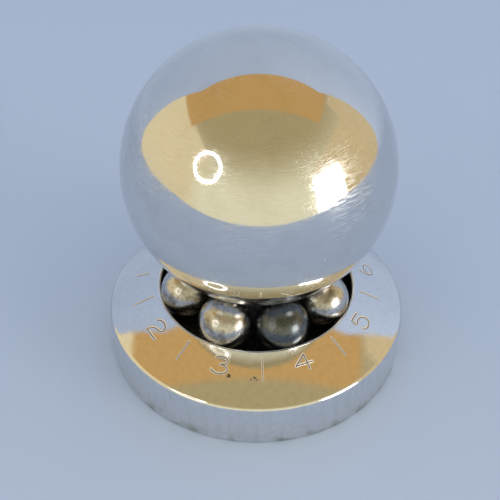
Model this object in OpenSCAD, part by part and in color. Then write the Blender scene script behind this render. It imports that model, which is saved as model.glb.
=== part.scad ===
// Ball paperweight: a large polished steel ball that rests on a ring of loose small balls,
// which lie in the pocket of a heavy turned base with a domed dial.
// The origin is the centre of the base's underside, the front is -Y, and +Z is up.

/* [Large ball] */
// Diameter of the large ball
large_ball_d = 50.8; // [40:0.1:60]

/* [Small balls] */
// Diameter of each small ball
small_ball_d = 10.6; // [8:0.1:13]
// Number of small balls in the ring
small_ball_count = 8; // [7:1:10]
// Free gap between neighbouring small balls when they lie evenly
small_ball_gap = 0.35; // [0.1:0.02:1]
// Direction of the dark ball from the front, towards +X
dark_ball_angle = 19.8; // [-180:0.1:180]
// Clearance left at each place where a ball rests
seat_gap = 0.02; // [0.01:0.01:0.1]

/* [Base] */
// Width of the base's ring, from the pocket's wall to the side
ring_w = 10.6; // [8:0.1:16]
// Height of the pocket's floor above the underside
floor_h = 10.05; // [8:0.05:14]
// Height of the pocket's wall, from the floor to the rounding of the lip
wall_h = 3.75; // [2.5:0.05:4.5]
// Radius of the domed dial
dome_r = 58; // [45:0.5:90]

/* [Edges] */
// Rounding of the dial's outer corner
rim_r = 1.3; // [0.2:0.05:2]
// Rounding of the underside's corner
foot_r = 0.45; // [0.2:0.05:1]
// Rounding of the lip, from the pocket's wall to the dial
lip_r = 0.5; // [0.2:0.05:0.8]
// Fillet between the pocket's floor and its wall
pocket_fillet_r = 1; // [0.4:0.1:2]

/* [Dial marks] */
// Number of equal divisions on the dial
dial_divisions = 9; // [4:1:12]
// Direction of the first mark from the front, towards +X
first_mark_angle = 3.1; // [-20:0.1:20]
// Distance from the pocket's wall to a mark's inner end
mark_inset = 1.7; // [1:0.1:3]
// Length of a mark
mark_l = 4.2; // [2:0.1:5]
// Width of a mark's groove
mark_w = 0.4; // [0.2:0.05:0.6]

/* [Hidden] */

$fn = 96;
front = -90;

// The dial lies this far inside the dome that its roundings touch, so that the faces meet cleanly
dome_inset = 0.0002;

// How far each ball has rolled off its even place, in shares of the free gap,
// from the dark ball on.
roll_off = [0, -0.4, -0.3, 0, -0.4, -0.8, -1.3, 0.5];

large_ball_r = large_ball_d / 2;
small_ball_r = small_ball_d / 2;

// The ring of small balls
ball_pitch = 360 / small_ball_count;
ring_r = (small_ball_d + small_ball_gap) / 2 / sin(ball_pitch / 2);
free_angle = ball_pitch - 2 * asin(small_ball_r / ring_r);
small_ball_z = floor_h + small_ball_r + seat_gap;

// The large ball touches every small ball
touch_distance = large_ball_r + small_ball_r + seat_gap;
large_ball_z = small_ball_z + sqrt(touch_distance * touch_distance - ring_r * ring_r);

// The small balls lie on the pocket's floor and against the rounding of its lip
lip_centre_z = floor_h + wall_h;
lip_below_ball = max(0, small_ball_z - lip_centre_z);
lip_distance = small_ball_r + lip_r + seat_gap;
lip_centre_r = ring_r + sqrt(lip_distance * lip_distance - lip_below_ball * lip_below_ball);
pocket_r = lip_centre_r - lip_r;
base_r = pocket_r + ring_w;

// The dial is part of a sphere that is centred on the axis and touches the lip's rounding
dome_z = lip_centre_z - sqrt((dome_r - lip_r) * (dome_r - lip_r) - lip_centre_r * lip_centre_r);
rim_centre = under_dome(base_r - rim_r, rim_r);
lip_centre = [lip_centre_r, lip_centre_z];

function bright_ball_name(place) = str("bright_ball_", place);

function ball_angle(place) =
    dark_ball_angle + place * ball_pitch
    + (place < len(roll_off) ? roll_off[place] * free_angle : 0);

// Height of the dome at radius r
function dome_height(r) = dome_z + sqrt(dome_r * dome_r - r * r);

// Centre, at radius r, of a rounding that touches the dome from below
function under_dome(r, rounding_r) =
    [r, dome_z + sqrt((dome_r - rounding_r) * (dome_r - rounding_r) - r * r)];

// The point 1 mm above the dome, on the ray from the dome's centre through a point
function above_dome(point) =
    let (ray = point - [0, dome_z])
    [0, dome_z] + ray / norm(ray) * (dome_r + 1);

module disc(centre, r) {
    translate(centre)
        circle(r = r);
}

// The base's half section without its roundings, open above the dial
module open_section() {
    polygon([
        [0, 0],
        [base_r - foot_r, 0],
        [base_r, foot_r],
        [base_r, rim_centre[1]],
        rim_centre,
        above_dome(rim_centre),
        above_dome(lip_centre),
        lip_centre,
        [pocket_r, lip_centre_z],
        [pocket_r, floor_h + pocket_fillet_r],
        [pocket_r - pocket_fillet_r, floor_h],
        [0, floor_h]
    ]);
}

module base_section() {
    difference() {
        union() {
            intersection() {
                open_section();
                disc([0, dome_z], dome_r - dome_inset);
            }
            disc([base_r - foot_r, foot_r], foot_r);
            disc(rim_centre, rim_r);
            disc(lip_centre, lip_r);
        }
        disc([pocket_r - pocket_fillet_r, floor_h + pocket_fillet_r], pocket_fillet_r);
    }
}

// One half-round groove along a chord of the dome
module mark_groove() {
    start_r = pocket_r + mark_inset;
    fall = asin(start_r / dome_r) + asin(mark_l / 2 / dome_r);
    translate([start_r, 0, dome_height(start_r)])
        rotate([0, 90 + fall, 0])
            cylinder(d = mark_w, h = mark_l);
}

module base() {
    color("gainsboro")
        difference() {
            rotate_extrude()
                base_section();
            for (mark = [0 : dial_divisions - 1])
                rotate(front + first_mark_angle + mark * 360 / dial_divisions)
                    mark_groove();
        }
}

module large_ball() {
    color("silver")
        translate([0, 0, large_ball_z])
            sphere(r = large_ball_r);
}

// A small ball at its place in the ring, counted from the dark ball
module small_ball(place) {
    rotate(front + ball_angle(place))
        translate([ring_r, 0, small_ball_z])
            sphere(r = small_ball_r);
}

module dark_ball() {
    color("slategray")
        small_ball(0);
}

module bright_ball(place) {
    color("lightgray")
        small_ball(place);
}

base();
large_ball();
dark_ball();
for (place = [1 : small_ball_count - 1])
    bright_ball(place);
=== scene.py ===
import math
from collections import namedtuple

import bmesh
import bpy
import numpy as np
from mathutils import Matrix, Vector


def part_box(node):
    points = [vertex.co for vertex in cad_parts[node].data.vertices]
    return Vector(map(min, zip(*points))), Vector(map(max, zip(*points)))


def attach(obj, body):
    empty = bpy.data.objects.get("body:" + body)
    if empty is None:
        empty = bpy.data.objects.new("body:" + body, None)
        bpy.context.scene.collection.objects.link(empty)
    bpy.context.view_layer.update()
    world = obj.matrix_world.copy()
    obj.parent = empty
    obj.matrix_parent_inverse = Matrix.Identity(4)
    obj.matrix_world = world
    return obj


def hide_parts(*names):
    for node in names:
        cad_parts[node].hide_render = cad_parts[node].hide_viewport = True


# A ball paperweight: a large polished steel ball on a ring of small steel balls, in the pocket
# of a turned and chromed base with a domed, numbered dial. The front is -Y and +Z is up.
# Sizes of the object are in millimetres, sizes of the stage in metres, and angles in degrees.

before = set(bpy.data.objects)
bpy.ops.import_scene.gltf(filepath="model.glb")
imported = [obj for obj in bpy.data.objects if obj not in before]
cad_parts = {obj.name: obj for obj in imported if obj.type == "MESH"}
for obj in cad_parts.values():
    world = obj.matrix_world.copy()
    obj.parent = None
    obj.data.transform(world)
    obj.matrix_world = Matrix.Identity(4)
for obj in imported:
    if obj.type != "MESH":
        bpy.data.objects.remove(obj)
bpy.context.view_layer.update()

MM = 0.001

# ---------------------------------------------------------------- dimensions of the base

base_low, base_high = (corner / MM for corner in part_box("base"))
BASE_R = (base_high.x - base_low.x) / 2
# Width of the ring between the pocket's wall and the side
RING_W = 10.6
# Height of the pocket's floor above the underside
FLOOR_H = 10.05
# Height of the pocket's wall, from the floor to the rounding of the lip
WALL_H = 3.75
# Radius of the sphere that the dial is part of
DOME_R = 58.0
# Roundings of the underside's corner, the dial's outer corner, the lip and the pocket's floor
FOOT_R = 0.45
RIM_R = 1.3
LIP_R = 0.5
POCKET_FILLET_R = 1.0

POCKET_R = BASE_R - RING_W
LIP_CENTRE = (POCKET_R + LIP_R, FLOOR_H + WALL_H)
DOME_CENTRE_Z = LIP_CENTRE[1] - math.sqrt((DOME_R - LIP_R) ** 2 - LIP_CENTRE[0] ** 2)


def dome_height(r):
    """Height of the dome at radius r."""
    return DOME_CENTRE_Z + math.sqrt(DOME_R**2 - r**2)


def dome_distance(r):
    """Distance along the dome, from its middle to radius r."""
    return DOME_R * math.asin(r / DOME_R)


# ---------------------------------------------------------------- marks on the dial

DIVISIONS = 9
PITCH = 360 / DIVISIONS
# Directions are measured from the front, towards +X. The first mark is the one nearest the
# front, and the numeral 1 lies two and a half divisions before it.
FIRST_MARK = 3.1
FIRST_NUMERAL = FIRST_MARK - 2.5 * PITCH
# Distance from the pocket's wall to a mark's inner end
MARK_INSET = 1.7
MARK_L = 4.2
# Height of a numeral, and the width of its unit box
NUMERAL_H = 3.35
NUMERAL_W = 3.4
# Width of the grooves of the marks and of the numerals, and their depth
MARK_W = 0.46
STROKE_W = 0.60
GROOVE_DEPTH = 0.10

# The dial's band that holds the marks and numerals, as distances along the dome, and the
# radius of its inner edge
BAND_MARGIN = 0.3
MARK_TOP = dome_distance(POCKET_R + MARK_INSET)
BAND_TOP = MARK_TOP - BAND_MARGIN
BAND_FOOT = MARK_TOP + MARK_L + BAND_MARGIN
BAND_R = DOME_R * math.sin(BAND_TOP / DOME_R)

# Size of the mesh's cells where something is cut, and the angle between its columns elsewhere
FINE_CELL = 0.070
COARSE_STEP = 1.8
# The fine cells reach past a figure's lines by this share of the groove's width
WINDOW_MARGIN = 0.6

# Corrosion pits in the front of the dial: direction, radius from the axis, size and strength
PITS = (
    (-11.8, 24.7, 0.42, 1.0),
    (-2.0, 24.9, 0.26, 0.7),
    (-0.7, 24.6, 0.30, 0.85),
    (0.3, 25.0, 0.24, 0.7),
)

# Each numeral is a few strokes in a box one unit high, with its foot at y = 0. A line is two
# points; an arc is a centre, two radii, and the angles that it starts and ends at.
NUMERALS = {
    1: [("line", (0.05, -0.08), (0.05, 0.76))],
    2: [
        ("arc", (0.05, 0.71), (0.45, 0.28), 165, -60),
        ("arc", (0.27, 0.0), (0.63, 0.468), 90, 180),
        ("line", (-0.36, 0.0), (0.58, 0.0)),
    ],
    3: [
        ("arc", (0.0, 0.78), (0.38, 0.22), 150, -90),
        ("arc", (0.0, 0.28), (0.47, 0.28), 90, -155),
    ],
    4: [
        ("line", (0.14, 1.0), (0.19, 0.10)),
        ("line", (0.14, 1.0), (-0.53, 0.44)),
        ("line", (-0.53, 0.44), (0.48, 0.46)),
    ],
    5: [
        ("line", (0.38, 1.02), (-0.31, 1.02)),
        ("line", (-0.31, 1.02), (-0.41, 0.66)),
        ("arc", (0.06, 0.38), (0.43, 0.36), 140, -160),
    ],
    6: [
        ("arc", (0.0, 0.25), (0.47, 0.28), 0, 360),
        ("arc", (0.10, 0.30), (0.60, 0.70), 180, 115),
    ],
    7: [
        ("line", (-0.45, 1.0), (0.45, 1.0)),
        ("line", (0.45, 1.0), (-0.12, 0.0)),
    ],
    8: [
        ("arc", (0.0, 0.78), (0.38, 0.22), 0, 360),
        ("arc", (0.0, 0.28), (0.47, 0.28), 0, 360),
    ],
    9: [
        ("arc", (0.0, 0.72), (0.47, 0.28), 0, 360),
        ("arc", (-0.10, 0.70), (0.60, 0.70), 0, -65),
    ],
}
# Step between the points of an arc
STROKE_STEP = 9

# A mark or numeral on the dial. Its chains of points run across the dial and down the dome.
Figure = namedtuple("Figure", "direction half_width groove_w chains")


# ---------------------------------------------------------------- objects


def add_object(name, data):
    """A new object in the scene."""
    made = bpy.data.objects.new(name, data)
    bpy.context.scene.collection.objects.link(made)
    return made


def mesh_object(name, points, faces, material):
    """A smooth mesh object, from points in metres."""
    mesh = bpy.data.meshes.new(name)
    mesh.from_pydata([tuple(point) for point in points], [], faces)
    mesh.shade_smooth()
    mesh.materials.append(material)
    return add_object(name, mesh)


def new_piece(name, points, faces, normals, material, node):
    """A piece that stands for a CAD node, from points in millimetres and the normal at each."""
    piece = mesh_object(name, [point * MM for point in points], faces, material)
    piece.data.normals_split_custom_set_from_vertices([tuple(normal) for normal in normals])
    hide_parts(node)
    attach(piece, "root")
    return piece


# ---------------------------------------------------------------- balls

# Faces along each side of a ball's six curved squares
LARGE_BALL_CELLS = 64
SMALL_BALL_CELLS = 32


def ball(node, cells, material):
    """A ball as six curved squares of even cells, which has no pole to pinch a reflection."""
    low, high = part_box(node)
    centre = np.array((low + high) / 2) / MM
    radius = (high.z - low.z) / 2 / MM
    net = bmesh.new()
    bmesh.ops.create_cube(net, size=2)
    bmesh.ops.subdivide_edges(net, edges=net.edges, cuts=cells - 1, use_grid_fill=True)
    flat = np.array([vertex.co for vertex in net.verts])
    even = np.tan(flat * math.pi / 4)
    normals = even / np.linalg.norm(even, axis=1, keepdims=True)
    net.verts.index_update()
    faces = [[vertex.index for vertex in face.verts] for face in net.faces]
    net.free()
    points = centre + radius * normals
    return new_piece(node + "_shell", points, faces, normals, material, node)


# ---------------------------------------------------------------- outline of the base

# A row of the outline is its radius, its height, and its normal's outward and upward parts


def arc_rows(centre, radius, start, end, steps, hollow=False):
    """Rows along an arc, whose normal turns from start to end, measured from outward to up."""
    angles = np.radians(np.linspace(start, end, steps + 1))
    normals = np.stack([np.cos(angles), np.sin(angles)], 1)
    points = np.array(centre) + (-radius if hollow else radius) * normals
    return [*np.hstack([points, normals])]


def between(start, end, count):
    """Evenly spaced rows inside the straight stretch between two rows."""
    shares = np.linspace(0, 1, count + 2)[1:-1, None]
    return [*(np.array(start) * (1 - shares) + np.array(end) * shares)]


def dome_normal(r, z):
    """Angle, from outward to up, of the dome's normal on the ray through a point."""
    return math.degrees(math.atan2(z - DOME_CENTRE_Z, r))


def base_rows():
    """The turned outline, from the underside, round the side and over the dial, to the pocket."""
    rim_r = BASE_R - RIM_R
    rim_centre = rim_r, DOME_CENTRE_Z + math.sqrt((DOME_R - RIM_R) ** 2 - rim_r**2)
    rim_end, lip_start = dome_normal(*rim_centre), dome_normal(*LIP_CENTRE)
    # The dome's normal at the edges of the band that holds the figures
    band_foot, band_top = (90 - math.degrees(edge / DOME_R) for edge in (BAND_FOOT, BAND_TOP))
    band_steps = int((BAND_FOOT - BAND_TOP) / FINE_CELL)
    fillet_centre = (POCKET_R - POCKET_FILLET_R, FLOOR_H + POCKET_FILLET_R)
    dome = (0, DOME_CENTRE_Z), DOME_R

    underside, floor = [0, 0, 0, -1], [0, FLOOR_H, 0, 1]
    foot = arc_rows((BASE_R - FOOT_R, FOOT_R), FOOT_R, -90, 0, steps=4)
    rim = arc_rows(rim_centre, RIM_R, 0, rim_end, steps=7)
    lip = arc_rows(LIP_CENTRE, LIP_R, lip_start, 180, steps=8)
    fillet = arc_rows(fillet_centre, POCKET_FILLET_R, 180, 90, steps=5, hollow=True)
    return np.array(
        [
            *between(underside, foot[0], 1),
            *foot,
            *between(foot[-1], rim[0], 2),
            *rim,
            *arc_rows(*dome, rim_end, band_foot, steps=6)[1:-1],
            *arc_rows(*dome, band_foot, band_top, band_steps),
            *arc_rows(*dome, band_top, lip_start, steps=3)[1:-1],
            *lip,
            *between(lip[-1], fillet[0], 1),
            *fillet,
            *between(fillet[-1], floor, 1),
        ]
    )


# ---------------------------------------------------------------- engraving


def stroke_points(stroke):
    """A numeral's stroke as a chain of points in its own unit box."""
    if stroke[0] == "line":
        return np.array(stroke[1:])
    _, centre, radii, start, end = stroke
    count = 2 + int(abs(end - start) / STROKE_STEP)
    angles = np.radians(np.linspace(start, end, count))
    return np.array(centre) + np.stack([np.cos(angles), np.sin(angles)], 1) * radii


def numeral_chains(number):
    """A numeral's chains of points, upright in the middle of the band."""
    middle = MARK_TOP + MARK_L / 2
    chains = [stroke_points(stroke) for stroke in NUMERALS[number]]
    return [
        np.stack([chain[:, 0] * NUMERAL_W, middle + (0.5 - chain[:, 1]) * NUMERAL_H], 1)
        for chain in chains
    ]


def dial_figures():
    """Every mark and numeral of the dial."""
    mark = np.array([(0, MARK_TOP), (0, MARK_TOP + MARK_L)])
    for place in range(DIVISIONS):
        turn = place * PITCH
        yield Figure(FIRST_MARK + turn, WINDOW_MARGIN * MARK_W, MARK_W, [mark])
        chains = numeral_chains(place + 1)
        half = max(abs(chain[:, 0]).max() for chain in chains)
        yield Figure(FIRST_NUMERAL + turn, half + WINDOW_MARGIN * STROKE_W, STROKE_W, chains)


def half_angle(figure):
    """Half of the angle, in radians, that a figure takes up on the dial."""
    return math.asin(figure.half_width / BAND_R)


def base_columns(figures):
    """Directions round the base, in radians: close together on a figure, wide apart elsewhere."""
    fine_step = FINE_CELL / (BAND_R + MARK_L / 2)
    windows = sorted((math.radians(fig.direction % 360), half_angle(fig)) for fig in figures)
    first_angle, first_half = windows[0]
    followers = windows[1:] + [(first_angle + 2 * math.pi, first_half)]
    columns = []
    for (angle, half), (after, after_half) in zip(windows, followers):
        columns += list(np.arange(angle - half, angle + half, fine_step))
        start, end = angle + half, after - after_half
        count = max(1, round(math.degrees(end - start) / COARSE_STEP))
        columns += list(np.linspace(start, end, count, endpoint=False))
    return np.array(columns)


def nearest(points, chain):
    """Distance from each point to a chain, and the unit vector that leads away from it."""
    best = np.full(len(points), np.inf)
    away = np.zeros_like(points)
    for a, b in zip(chain, chain[1:]):
        along = b - a
        share = np.clip((points - a) @ along / (along @ along), 0, 1)
        gap = points - a - share[:, None] * along
        distance = np.linalg.norm(gap, axis=1)
        closer = distance < best
        best[closer] = distance[closer]
        away[closer] = gap[closer] / np.maximum(distance[closer], 1e-9)[:, None]
    return best, away


def cut_figures(radial, angle, distance, figures):
    """Groove depth at each point of the base, and its slope across and down the dial."""
    depth, across, down = (np.zeros(radial.shape) for _ in range(3))
    for figure in figures:
        reach = figure.groove_w / 2
        offset = (angle - math.radians(figure.direction) + math.pi) % (2 * math.pi) - math.pi
        near = np.nonzero(np.abs(offset) < half_angle(figure))
        sag = radial[near] * (1 - np.cos(offset[near]))
        place = np.stack([radial[near] * np.sin(offset[near]), distance[near] - sag], 1)
        for chain in figure.chains:
            gap, away = nearest(place, chain)
            phase = np.clip(gap / reach, 0, 1) * math.pi
            cut = GROOVE_DEPTH * (1 + np.cos(phase)) / 2
            steep = -GROOVE_DEPTH * math.pi / reach * np.sin(phase) / 2
            deeper = cut > depth[near]
            spot = tuple(index[deeper] for index in near)
            depth[spot] = cut[deeper]
            across[spot] = (steep * away[:, 0])[deeper]
            down[spot] = (steep * away[:, 1])[deeper]
    return depth, across, down


def ring_faces(rings, around):
    """Faces between closed rings of points, and fans to the two middle points that follow them."""
    index = np.arange(rings * around).reshape(rings, around)
    after = np.roll(index, -1, axis=1)
    quads = np.stack([index[:-1], after[:-1], after[1:], index[1:]], -1).reshape(-1, 4)
    first_middle, last_middle = rings * around, rings * around + 1
    faces = quads.tolist()
    faces += [(first_middle, b, a) for a, b in zip(index[0].tolist(), after[0].tolist())]
    faces += [(last_middle, a, b) for a, b in zip(index[-1].tolist(), after[-1].tolist())]
    return faces


def build_base(material):
    """The turned base, with its marks and numerals cut into the dial."""
    rows = base_rows()
    figures = list(dial_figures())
    columns = base_columns(figures)
    angle, radial = np.meshgrid(columns, rows[:, 0])
    on_top = rows[:, 1, None] > dome_height(BASE_R)
    distance = np.where(on_top, DOME_R * np.arcsin(radial / DOME_R), 0)
    depth, across, down = cut_figures(radial, angle, distance, figures)

    outward = np.stack([np.sin(angle), -np.cos(angle), np.zeros_like(angle)], -1)
    sideways = np.stack([np.cos(angle), np.sin(angle), np.zeros_like(angle)], -1)
    up = np.array([0.0, 0.0, 1.0])
    row_r, row_z, normal_r, normal_z = (part[:, None, None] for part in rows.T)
    smooth = normal_r * outward + normal_z * up
    downhill = normal_z * outward - normal_r * up
    points = row_r * outward + row_z * up - depth[..., None] * smooth
    normals = smooth + across[..., None] * sideways + down[..., None] * downhill
    normals /= np.linalg.norm(normals, axis=-1, keepdims=True)

    points = np.vstack([points.reshape(-1, 3), [(0, 0, 0), (0, 0, FLOOR_H)]])
    normals = np.vstack([normals.reshape(-1, 3), [(0, 0, -1), (0, 0, 1)]])
    faces = ring_faces(len(rows), len(columns))
    return new_piece("base_shell", points, faces, normals, material, "base")


# ---------------------------------------------------------------- shader nodes


def fill(tree, node, inputs):
    """Links each input that is given as a socket, and sets each number, vector or colour."""
    for name, value in inputs.items():
        socket = node.inputs[name]
        if isinstance(value, bpy.types.NodeSocket):
            tree.links.new(value, socket)
        elif socket.type == "RGBA":
            socket.default_value = (*value, 1.0)
        else:
            socket.default_value = value


def add(tree, kind, inputs=None, **settings):
    """A new shader node."""
    made = tree.nodes.new("ShaderNode" + kind)
    for name, value in settings.items():
        setattr(made, name, value)
    fill(tree, made, inputs or {})
    return made


def math_of(tree, operation, first, *others):
    """One Math operation over two or more sockets and numbers."""
    result = first
    for other in others:
        result = add(tree, "Math", {0: result, 1: other}, operation=operation).outputs["Value"]
    return result


def total(tree, *values):
    """The sum of several sockets and numbers."""
    return math_of(tree, "ADD", *values)


def product(tree, *values):
    """The product of several sockets and numbers."""
    return math_of(tree, "MULTIPLY", *values)


def highest(tree, *values):
    """The highest of several sockets and numbers."""
    return math_of(tree, "MAXIMUM", *values)


def fade(tree, value, start, end, low=0.0, high=1.0):
    """Low where value is at start or before, high where it is at end or past it, smooth between."""
    inputs = {"Value": value, "From Min": start, "From Max": end, "To Min": low, "To Max": high}
    return add(tree, "MapRange", inputs, interpolation_type="SMOOTHSTEP").outputs["Result"]


def blend_colour(tree, factor, a, b):
    """Colour a where the factor is 0, and b where it is 1."""
    factor_in, a_in, b_in, colour_out = 0, 6, 7, 2
    inputs = {factor_in: factor, a_in: a, b_in: b}
    return add(tree, "Mix", inputs, data_type="RGBA").outputs[colour_out]


def split(tree, vector):
    """A vector's parts, by the names X, Y and Z."""
    return add(tree, "SeparateXYZ", {"Vector": vector}).outputs


def apart(tree, a, b):
    """Distance between two places."""
    return add(tree, "VectorMath", {0: a, 1: b}, operation="DISTANCE").outputs["Value"]


def millimetres(tree):
    """The piece's own coordinates, in millimetres."""
    own = add(tree, "TexCoord").outputs["Object"]
    return add(tree, "Mapping", {"Vector": own, "Scale": (1 / MM,) * 3}).outputs["Vector"]


def stretched(tree, vector, scale, turn=(0, 0, 0)):
    """Coordinates turned, then scaled, so that a pattern runs long where the scale is low."""
    rotation = tuple(math.radians(angle) for angle in turn)
    turned = add(tree, "Mapping", {"Vector": vector, "Rotation": rotation}).outputs["Vector"]
    return add(tree, "Mapping", {"Vector": turned, "Scale": scale}).outputs["Vector"]


def noise(tree, vector, scale, detail=2.0, roughness=0.5):
    """Soft noise from 0 to 1."""
    inputs = {"Vector": vector, "Scale": scale, "Detail": detail, "Roughness": roughness}
    return add(tree, "TexNoise", inputs).outputs["Fac"]


def scratches(tree, vector, turns, length_scale, width_scale, threshold):
    """Short fine scratches in several directions, 1 on a scratch and 0 between them."""
    scale = (length_scale, width_scale, width_scale)
    softness = 0.05
    marks = []
    for turn in turns:
        lines = noise(tree, stretched(tree, vector, scale, turn), scale=1.0, detail=1.0)
        marks.append(fade(tree, lines, threshold, threshold + softness))
    return highest(tree, *marks)


def specks(tree, vector, scale, size, share):
    """Tiny round specks in a share of the cells of a random net."""
    net = add(tree, "TexVoronoi", {"Vector": vector, "Scale": scale})
    dot = fade(tree, net.outputs["Distance"], size, size * 0.6)
    chosen = add(tree, "SeparateColor", {"Color": net.outputs["Color"]}).outputs["Red"]
    return product(tree, dot, math_of(tree, "LESS_THAN", chosen, share))


def bump(tree, height, depth, below=None):
    """A normal from a height map, in which 1 stands for this depth in millimetres."""
    inputs = {"Height": height, "Distance": depth * MM, "Strength": 1.0}
    if below is not None:
        inputs["Normal"] = below
    return add(tree, "Bump", inputs).outputs["Normal"]


# ---------------------------------------------------------------- materials


def new_material(name):
    """A material, its node tree and its Principled shader."""
    material = bpy.data.materials.new(name)
    material.use_nodes = True
    tree = material.node_tree
    return material, tree, tree.nodes["Principled BSDF"]


def mirror_steel():
    """Polished bearing steel: a mirror with hairlines round it, scratches and specks of dust; the
    hairlines' lighter colour is a painted sheen.
    """
    clear, smudged = (0.69, 0.69, 0.685), (0.64, 0.635, 0.625)
    hazy, scuffed, dusty = (0.84, 0.84, 0.83), (0.84, 0.83, 0.80), (0.90, 0.90, 0.88)
    material, tree, shader = new_material("mirror_steel")
    place = millimetres(tree)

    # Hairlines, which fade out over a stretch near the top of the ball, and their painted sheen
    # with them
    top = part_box("large_ball")[1].z / MM
    handled = fade(tree, split(tree, place)["Z"], top - 4, top - 12, low=0.10)
    cloud = fade(tree, noise(tree, place, scale=0.07, detail=3.0), 0.36, 0.60, low=0.35)
    level = stretched(tree, place, (0.45, 0.45, 11.0), turn=(3, 2, 0))
    lines = fade(tree, noise(tree, level, scale=1.0, detail=3.0, roughness=0.6), 0.49, 0.64)
    hairlines_and_sheen = product(tree, lines, handled, cloud)

    # Short scratches, dust and smudges
    turns = ((0, 0, 20), (0, 35, 75), (25, -30, -40), (-20, 50, 10))
    marks = scratches(tree, place, turns, length_scale=0.8, width_scale=9.0, threshold=0.70)
    scuffs = product(tree, marks, fade(tree, noise(tree, place, scale=0.11), 0.40, 0.60))
    dust = specks(tree, place, scale=0.55, size=0.08, share=0.16)
    smudge = fade(tree, noise(tree, place, scale=0.16, detail=4.0, roughness=0.6), 0.45, 0.75)

    colour = blend_colour(tree, smudge, clear, smudged)
    # The hairlines lighten the colour towards the hazy one: a painted sheen
    colour = blend_colour(tree, product(tree, hairlines_and_sheen, 0.55), colour, hazy)
    colour = blend_colour(tree, scuffs, colour, scuffed)
    roughness = total(
        tree,
        0.02,
        product(tree, smudge, 0.02),
        product(tree, hairlines_and_sheen, 0.32),
        product(tree, scuffs, 0.15),
        product(tree, dust, 0.5),
    )
    height = total(tree, product(tree, hairlines_and_sheen, -0.18), product(tree, scuffs, -1.2), dust)
    fill(tree, shader, {
        "Base Color": blend_colour(tree, dust, colour, dusty),
        "Metallic": 1.0,
        "Roughness": roughness,
        "Normal": bump(tree, height, depth=0.003),
    })
    return material


def bright_steel():
    """Small bearing balls: hazy steel with brown handling stains and fine rub marks."""
    clean, hazy, stained = (0.60, 0.595, 0.585), (0.46, 0.455, 0.445), (0.25, 0.225, 0.19)
    material, tree, shader = new_material("bright_steel")
    place = millimetres(tree)
    stain = fade(tree, noise(tree, place, scale=0.30, detail=4.0, roughness=0.6), 0.44, 0.66)
    haze = fade(tree, noise(tree, place, scale=1.7, detail=3.0), 0.40, 0.70)
    turns = ((0, 0, 15), (40, 20, 70))
    marks = scratches(tree, place, turns, length_scale=0.8, width_scale=8.0, threshold=0.70)
    grain = noise(tree, place, scale=9.0, detail=3.0)

    roughness = total(
        tree,
        0.20,
        product(tree, haze, 0.05),
        product(tree, stain, 0.08),
        product(tree, marks, 0.12),
    )
    height = total(tree, product(tree, grain, 0.6), product(tree, marks, -0.6))
    fill(tree, shader, {
        "Base Color": blend_colour(tree, stain, blend_colour(tree, haze, clean, hazy), stained),
        "Metallic": 1.0,
        "Roughness": roughness,
        "Normal": bump(tree, height, depth=0.003),
    })
    return material


def dark_steel():
    """The odd ball: blued, satin gunmetal with soft cloudy mottles and a few bright nicks."""
    blue, pale_blue = (0.062, 0.078, 0.096), (0.112, 0.128, 0.140)
    grainy, nicked = (0.23, 0.22, 0.20), (0.45, 0.42, 0.36)
    material, tree, shader = new_material("dark_steel")
    place = millimetres(tree)
    cloud = fade(tree, noise(tree, place, scale=0.5, detail=5.0, roughness=0.6), 0.38, 0.68)
    grain = noise(tree, place, scale=4.0, detail=5.0, roughness=0.65)
    nicks = specks(tree, place, scale=0.9, size=0.10, share=0.2)

    colour = blend_colour(tree, cloud, blue, pale_blue)
    colour = blend_colour(tree, fade(tree, grain, 0.50, 0.75), colour, grainy)
    height = math_of(tree, "SUBTRACT", grain, nicks)
    fill(tree, shader, {
        "Base Color": blend_colour(tree, nicks, colour, nicked),
        "Metallic": 1.0,
        "Roughness": total(tree, 0.22, product(tree, cloud, 0.08), product(tree, grain, 0.10)),
        "Normal": bump(tree, height, depth=0.012),
        "Coat Weight": 0.6,
        "Coat Roughness": 0.16,
    })
    return material


def dial_point(direction, r):
    """A point on the dial, in millimetres."""
    turn = math.radians(direction)
    return (r * math.sin(turn), -r * math.cos(turn), dome_height(r))


def corrosion(tree, place):
    """The pits in the front of the dial, with ragged edges, and tiny ones all over."""
    edge = noise(tree, place, scale=3.2, detail=3.0, roughness=0.6)
    ragged = fade(tree, edge, 0.3, 0.7, low=-0.22, high=0.22)
    pits = [product(tree, specks(tree, place, scale=0.35, size=0.045, share=0.25), 0.8)]
    for direction, r, size, strength in PITS:
        gap = total(tree, apart(tree, place, dial_point(direction, r)), ragged)
        pits.append(product(tree, fade(tree, gap, 1.2 * size, 0.5 * size), strength))
    return highest(tree, *pits)


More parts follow.
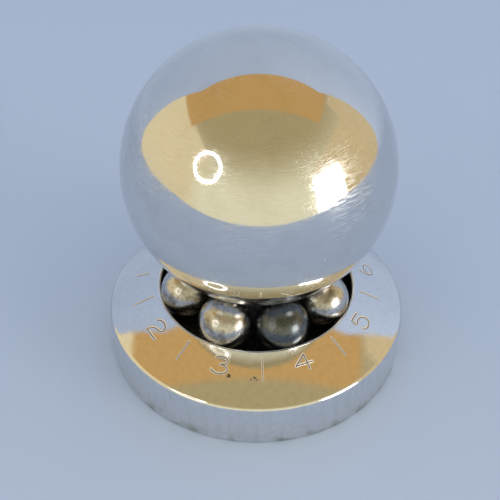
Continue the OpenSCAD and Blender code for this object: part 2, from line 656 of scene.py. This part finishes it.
def base_chrome():
    """Chromed steel: a bright mirror with a fine ripple, the base's scuffs and pits, darker
    blotches near its foot, and painted light: a reflection of streaks on the side, highlights on
    the lip and the grooves' edges, and shade in the grooves and the pocket.
    """
    bright, soft, streak_reflection_colour = (0.76, 0.76, 0.765), (0.72, 0.72, 0.72), (0.68, 0.68, 0.675)
    low_greenish, highlight_cream, groove_shade = (0.42, 0.43, 0.33), (0.95, 0.93, 0.88), (0.24, 0.18, 0.12)
    pitted, pocket_shade_colour = (0.16, 0.115, 0.05), (0.10, 0.09, 0.075)
    material, tree, shader = new_material("base_chrome")
    place = millimetres(tree)
    parts = split(tree, place)
    flat = add(tree, "CombineXYZ", {"X": parts["X"], "Y": parts["Y"]}).outputs["Vector"]
    radius = apart(tree, flat, (0, 0, 0))
    lip_z = dome_height(POCKET_R)

    # The plating's ripple, and the scratches in it
    ripple = noise(tree, place, scale=0.9)
    peel = noise(tree, place, scale=5.0)
    turns = ((0, 0, 35), (20, 15, -30), (-15, 10, 80))
    marks = scratches(tree, place, turns, length_scale=0.6, width_scale=7.0, threshold=0.71)
    worn = fade(tree, noise(tree, place, scale=0.13), 0.42, 0.62, low=0.1, high=0.7)
    scuffs = product(tree, marks, worn)
    pits = corrosion(tree, place)

    # Painted reflection of upright streaks on the side, and darker, greenish blotches on its lowest
    # few millimetres
    upright = stretched(tree, place, (0.9, 0.9, 0.14))
    reflected_streaks = fade(tree, noise(tree, upright, scale=1.0, detail=5.0, roughness=0.6), 0.45, 0.75)
    reflected_streaks = product(tree, reflected_streaks, fade(tree, radius, BASE_R - 0.5, BASE_R - 0.2))
    blotches = fade(tree, noise(tree, place, scale=0.30, detail=4.0, roughness=0.6), 0.42, 0.66)
    # Darker, greenish blotches towards the bottom of the side
    low_blotches = product(tree, blotches, fade(tree, parts["Z"], 3.2, 0.2))

    # Painted shade in the pocket under the balls, mottled by noise, up to just under the lip
    dirt = noise(tree, place, scale=0.8, detail=4.0, roughness=0.6)
    pocket_shade = product(
        tree,
        fade(tree, dirt, 0.2, 0.6, low=0.75),
        fade(tree, parts["Z"], lip_z - 0.6, lip_z - 1.2),
        fade(tree, radius, POCKET_R + 0.35, POCKET_R + 0.25),
    )

    # The cuts in the dial: how far a point lies below the dome tells a groove's edge and bed
    from_centre = apart(tree, place, (0, 0, DOME_CENTRE_Z))
    dial_start, dial_end = LIP_CENTRE[0], BASE_R - RIM_R
    on_dial = product(
        tree,
        fade(tree, radius, dial_end - 0.3, dial_end - 0.4),
        fade(tree, radius, dial_start + 0.4, dial_start + 0.5),
    )
    groove_edge = product(tree, on_dial, fade(tree, from_centre, DOME_R - 0.008, DOME_R - 0.03))
    # A groove's bed gets a dark brown colour: painted shade
    groove_bed = product(tree, on_dial, fade(tree, from_centre, DOME_R - 0.045, DOME_R - 0.085))

    # Painted highlight, on the lip as on the grooves' edges
    on_lip = product(
        tree,
        fade(tree, radius, POCKET_R + 0.55, POCKET_R + 0.35),
        fade(tree, parts["Z"], lip_z - 0.8, lip_z - 0.5),
    )
    painted_highlight_edges = highest(tree, groove_edge, on_lip)

    colour = blend_colour(tree, fade(tree, ripple, 0.4, 0.7), bright, soft)
    # Among these covers, the streaks are a painted reflection, the cream on the lip and groove
    # edges a painted highlight, and the groove bed and pocket painted shade
    for cover, its_colour in (
        (reflected_streaks, streak_reflection_colour),
        (low_blotches, low_greenish),
        (painted_highlight_edges, highlight_cream),
        (groove_bed, groove_shade),
        (pits, pitted),
        (pocket_shade, pocket_shade_colour),
    ):
        colour = blend_colour(tree, cover, colour, its_colour)
    roughness = total(
        tree,
        0.055,
        product(tree, reflected_streaks, 0.03),
        product(tree, scuffs, 0.10),
        product(tree, low_blotches, 0.16),
        product(tree, pits, 0.5),
        product(tree, pocket_shade, 0.30),
        product(tree, groove_edge, 0.36),
        product(tree, on_lip, 0.24),
    )
    fine = total(tree, peel, product(tree, scuffs, -0.6), product(tree, pits, -3.4))
    wavy = bump(tree, ripple, depth=0.008)
    fill(tree, shader, {
        "Base Color": colour,
        # The painted highlight on the lip and groove edges is also made less metallic
        "Metallic": fade(tree, painted_highlight_edges, 0.0, 1.0, low=1.0, high=0.50),
        "Roughness": roughness,
        "Normal": bump(tree, fine, depth=0.0048, below=wavy),
    })
    return material


def floor_paint():
    """A plain, pale, matt floor."""
    material, tree, shader = new_material("pale_floor")
    pale_blue = (0.47, 0.55, 0.69)
    fill(tree, shader, {"Base Color": pale_blue, "Roughness": 0.9, "Specular IOR Level": 0.1})
    return material


# ---------------------------------------------------------------- stage


def build_sweep(material):
    """The floor, which curves up behind the object into a backdrop."""
    half_width, front, top = 0.55, -0.267, 0.71
    bend_start, bend_r, bend_steps = 0.165, 0.10, 24
    side = [(front, 0.0), (bend_start, 0.0)]
    for step in range(1, bend_steps + 1):
        turn = math.pi / 2 * step / bend_steps
        side.append((bend_start + bend_r * math.sin(turn), bend_r * (1 - math.cos(turn))))
    side.append((bend_start + bend_r, top))
    points = [(x, y, z) for x in (-half_width, half_width) for y, z in side]
    count = len(side)
    faces = [(i, count + i, count + i + 1, i + 1) for i in range(count - 1)]
    sweep = mesh_object("sweep", points, faces, material)


def studio_sky(tree):
    """What the metal reflects: a cream sky, warm overhead and on both flanks, and a tan board."""
    cream, overhead = (0.98, 0.91, 0.62), (0.50, 0.40, 0.20)
    left_flank, right_flank = (0.92, 0.76, 0.45), (0.76, 0.59, 0.32)
    tan = (0.66, 0.40, 0.14)
    parts = split(tree, add(tree, "TexCoord").outputs["Generated"])

    # The flanks and the board have their edges on a flat ceiling, one unit up: so far to the
    # right of the object, and so far behind it
    rise = highest(tree, parts["Z"], 0.02)
    aside = math_of(tree, "DIVIDE", parts["X"], rise)
    behind = math_of(tree, "DIVIDE", parts["Y"], rise)
    flanks = product(
        tree,
        highest(
            tree,
            fade(tree, aside, -1.06, -1.20),
            product(tree, fade(tree, aside, 0.98, 1.08), fade(tree, behind, 0.26, 0.34)),
            fade(tree, aside, 1.45, 1.60),
        ),
        fade(tree, parts["Y"], -0.75, -0.45),
    )
    board = product(
        tree,
        fade(tree, behind, -0.20, -0.12),
        fade(tree, aside, -1.30, -1.20),
        fade(tree, aside, 1.02, 0.92),
    )
    middle = blend_colour(tree, fade(tree, parts["Z"], 0.15, 0.80), cream, overhead)
    sides = blend_colour(tree, fade(tree, parts["X"], -0.4, 0.4), left_flank, right_flank)
    return blend_colour(tree, board, blend_colour(tree, flanks, middle, sides), tan)


def build_world():
    """A plain even light for the floor. The camera and the metal see the studio's sky instead."""
    even_white = (0.88, 0.88, 0.88)
    world = bpy.data.worlds.new("studio")
    bpy.context.scene.world = world
    world.use_nodes = True
    tree = world.node_tree
    tree.nodes.clear()
    rays = add(tree, "LightPath").outputs
    shown = highest(tree, rays["Is Camera Ray"], rays["Is Glossy Ray"], rays["Is Transmission Ray"])
    even = add(tree, "Background", {"Color": even_white, "Strength": 1.0})
    sky = add(tree, "Background", {"Color": studio_sky(tree), "Strength": 1.0})
    mix = add(tree, "MixShader", {0: shown, 1: even.outputs[0], 2: sky.outputs[0]})
    add(tree, "OutputWorld", {"Surface": mix.outputs[0]})


def aim(thing, place, target):
    """Puts a light or camera at a place and turns it to its target."""
    thing.location = place
    thing.rotation_mode = "QUATERNION"
    thing.rotation_quaternion = (Vector(target) - Vector(place)).to_track_quat("-Z", "Y")


def face_large_ball(thing, direction, elevation, distance):
    """Puts a lamp so far from the large ball's centre, and turns it to the ball."""
    low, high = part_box("large_ball")
    centre = (low + high) / 2
    turn, lift = math.radians(direction), math.radians(elevation)
    flat = Vector((math.sin(turn), -math.cos(turn), 0.0))
    toward = flat * math.cos(lift) + Vector((0.0, 0.0, math.sin(lift)))
    aim(thing, centre + toward * distance, centre)


def softbox(name, direction, elevation, distance, size, watts):
    """A rectangular area lamp that faces the large ball."""
    lamp = bpy.data.lights.new(name, "AREA")
    lamp.shape = "RECTANGLE"
    lamp.size, lamp.size_y = size
    lamp.energy = watts
    lamp.color = (1.0, 0.96, 0.89)
    face_large_ball(add_object(name, lamp), direction, elevation, distance)


def ring_lamp(name, direction, elevation, distance, inner, outer, strength):
    """A flat glowing ring that faces the large ball, between two half angles seen from it."""
    warm_white = (1.0, 0.97, 0.90)
    steps = 48
    material, tree, _ = new_material(name)
    tree.nodes.clear()
    glow = add(tree, "Emission", {"Color": warm_white, "Strength": strength})
    add(tree, "OutputMaterial", {"Surface": glow.outputs[0]})
    points = []
    for edge in (inner, outer):
        radius = distance * math.tan(math.radians(edge))
        for step in range(steps):
            turn = 2 * math.pi * step / steps
            points.append((radius * math.cos(turn), radius * math.sin(turn), 0.0))
    faces = [(i, (i + 1) % steps, steps + (i + 1) % steps, steps + i) for i in range(steps)]
    ring = mesh_object(name, points, faces, material)
    face_large_ball(ring, direction, elevation, distance)


def build_camera():
    """The photograph's viewing angle: from the front, about 41 degrees above the horizon."""
    aside, before, up, target_up = -1.41 * MM, 139.54 * MM, 143.52 * MM, 22.33 * MM
    roll = 0.82
    data = bpy.data.cameras.new("camera")
    data.lens = 67.32
    data.sensor_width = 36.0
    data.clip_start = 0.01
    camera = add_object("camera", data)
    aim(camera, (aside, -before, up), (aside, 0.0, target_up))
    tilt = Matrix.Rotation(math.radians(roll), 3, "Z").to_quaternion()
    camera.rotation_quaternion = camera.rotation_quaternion @ tilt
    bpy.context.scene.camera = camera


# ---------------------------------------------------------------- the scene

build_base(base_chrome())
ball("large_ball", LARGE_BALL_CELLS, mirror_steel())
ball("dark_ball", SMALL_BALL_CELLS, dark_steel())
bright = bright_steel()
for node in sorted(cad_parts):
    if node.startswith("bright_ball"):
        ball(node, SMALL_BALL_CELLS, bright)

build_sweep(floor_paint())
build_world()
softbox("key", direction=57, elevation=6, distance=1.6, size=(0.72, 0.74), watts=12.0)
ring_lamp("fill", direction=-46, elevation=25.7, distance=1.0, inner=9.4, outer=11.8, strength=5.0)
build_camera()
bpy.context.scene.view_settings.view_transform = "Standard"
